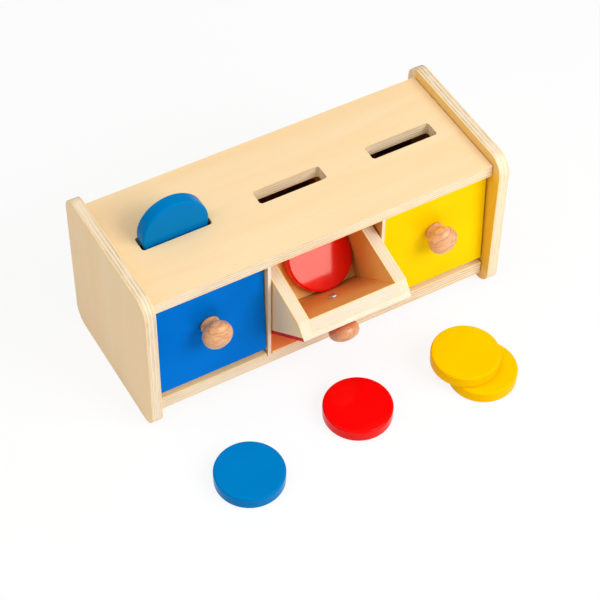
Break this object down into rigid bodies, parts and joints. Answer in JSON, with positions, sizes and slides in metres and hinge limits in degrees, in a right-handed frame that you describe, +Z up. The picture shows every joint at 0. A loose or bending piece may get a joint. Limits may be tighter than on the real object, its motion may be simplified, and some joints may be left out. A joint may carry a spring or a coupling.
{
  "type": "posting box",
  "caption": "Plywood posting box: painted discs drop through slots in its top into bins at its front that tilt open by turned wooden knobs.",
  "frame": {"origin": "middle of the bottom board's underside, half-way between the end panels and in the middle of their depth", "axes": "+X along the box to its right end as seen from the front, -Y to the front where the bins open, +Z up"},
  "size_m": [0.33, 0.251, 0.172],
  "materials": {
    "birch_plywood": "sanded pale birch plywood, clear satin lacquer, plies showing on the edges",
    "thin_plywood": "sanded three-ply birch, clear satin lacquer",
    "beech": "turned beech, clear satin lacquer",
    "steel": "zinc-plated steel",
    "blue_paint": "satin blue paint on plywood",
    "red_paint": "satin red paint on plywood",
    "yellow_paint": "satin yellow paint on plywood",
    "blue_gloss": "glossy blue paint on turned wood",
    "red_gloss": "glossy red paint on turned wood",
    "yellow_gloss": "glossy yellow paint on turned wood"
  },
  "bodies": {
    "carcass": {"left_end_panel": "birch_plywood", "right_end_panel": "birch_plywood", "top_board": "birch_plywood", "bottom_board": "birch_plywood", "back_panel": "thin_plywood", "left_divider": "thin_plywood", "right_divider": "thin_plywood", "left_end_pivot_pin": "steel", "left_divider_pivot_pin": "steel", "right_divider_pivot_pin": "steel", "right_end_pivot_pin": "steel", "top_left_front_dowel": "beech", "top_left_back_dowel": "beech", "top_right_front_dowel": "beech", "top_right_back_dowel": "beech", "bottom_left_front_dowel": "beech", "bottom_left_back_dowel": "beech", "bottom_right_front_dowel": "beech", "bottom_right_back_dowel": "beech"},
    "left_bin": {"left_bin_face": "blue_paint", "left_bin_front_board": "birch_plywood", "left_bin_left_cheek": "birch_plywood", "left_bin_right_cheek": "birch_plywood", "left_bin_floor": "birch_plywood", "left_bin_rear_board": "birch_plywood", "left_bin_knob": "beech", "left_bin_knob_screw": "steel"},
    "middle_bin": {"middle_bin_face": "red_paint", "middle_bin_front_board": "birch_plywood", "middle_bin_left_cheek": "birch_plywood", "middle_bin_right_cheek": "birch_plywood", "middle_bin_floor": "birch_plywood", "middle_bin_rear_board": "birch_plywood", "middle_bin_knob": "beech", "middle_bin_knob_screw": "steel"},
    "right_bin": {"right_bin_face": "yellow_paint", "right_bin_front_board": "birch_plywood", "right_bin_left_cheek": "birch_plywood", "right_bin_right_cheek": "birch_plywood", "right_bin_floor": "birch_plywood", "right_bin_rear_board": "birch_plywood", "right_bin_knob": "beech", "right_bin_knob_screw": "steel"},
    "posted_disc": {"posted_blue_disc": "blue_gloss"},
    "binned_disc": {"binned_red_disc": "red_gloss"},
    "loose_blue": {"loose_blue_disc": "blue_gloss"},
    "loose_red": {"loose_red_disc": "red_gloss"},
    "lower_yellow": {"lower_yellow_disc": "yellow_gloss"},
    "upper_yellow": {"upper_yellow_disc": "yellow_gloss"}
  },
  "joints": [
    {"name": "left_bin_tilt", "type": "hinge", "parent": "carcass", "child": "left_bin", "pos_m": [-0.10433, -0.0462, 0.03964], "axis": [1, 0, 0], "range_deg": [0, 52.9]},
    {"name": "middle_bin_tilt", "type": "hinge", "parent": "carcass", "child": "middle_bin", "pos_m": [0, -0.0462, 0.03964], "axis": [1, 0, 0], "range_deg": [-52.9, 0]},
    {"name": "right_bin_tilt", "type": "hinge", "parent": "carcass", "child": "right_bin", "pos_m": [0.10433, -0.0462, 0.03964], "axis": [1, 0, 0], "range_deg": [0, 52.9]},
    {"name": "posted_disc_drop", "type": "slide", "parent": "carcass", "child": "posted_disc", "axis": [0, 0, 1], "range_m": [-0.068, 0.03]},
    {"name": "binned_disc_lift", "type": "slide", "parent": "middle_bin", "child": "binned_disc", "axis": [0, -0.7665, 0.6423], "range_m": [0, 0.018]},
    {"name": "loose_blue_lift", "type": "slide", "parent": "carcass", "child": "loose_blue", "axis": [0, 0, 1], "range_m": [0, 0.045]},
    {"name": "loose_red_lift", "type": "slide", "parent": "carcass", "child": "loose_red", "axis": [0, 0, 1], "range_m": [0, 0.045]},
    {"name": "lower_yellow_lift", "type": "slide", "parent": "carcass", "child": "lower_yellow", "axis": [0, 0, 1], "range_m": [0, 0.045]},
    {"name": "upper_yellow_lift", "type": "slide", "parent": "lower_yellow", "child": "upper_yellow", "axis": [0, 0, 1], "range_m": [0, 0.045]}
  ]
}
